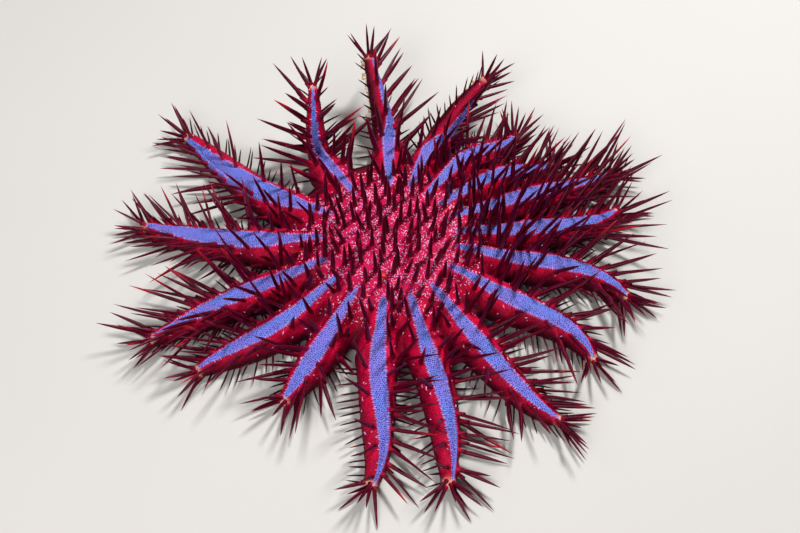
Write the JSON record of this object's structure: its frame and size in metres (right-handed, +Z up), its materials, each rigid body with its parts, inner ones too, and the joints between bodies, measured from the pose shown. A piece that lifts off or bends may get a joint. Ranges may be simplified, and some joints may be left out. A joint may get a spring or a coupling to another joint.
{
  "type": "crown of thorns starfish",
  "caption": "Life-size crown-of-thorns starfish lying flat, its long spines standing out all over, some of its arms lifted at the tips.",
  "frame": {"origin": "on the floor, under the middle of the box round the spine tips", "axes": "+Z up from the floor; -Y towards the viewer of the picture and +X to that viewer's right"},
  "size_m": [0.3874, 0.3604, 0.0768],
  "materials": {
    "skin": "matt, rough skin: crimson with a violet-blue stripe down each arm, and dark maroon spines that are redder at their tips",
    "mouth_film": "soft, smooth and slightly moist"
  },
  "bodies": {
    "root": {"arm_01": "skin", "arm_02": "skin", "arm_03": "skin", "arm_04": "skin", "arm_05": "skin", "arm_06": "skin", "arm_07": "skin", "arm_08": "skin", "arm_09": "skin", "arm_10": "skin", "arm_11": "skin", "arm_12": "skin", "arm_13": "skin", "arm_14": "skin", "arm_15": "skin", "arm_16": "skin", "arm_17": "skin", "central_disc": "skin", "mouth_film": "mouth_film"}
  },
  "joints": []
}
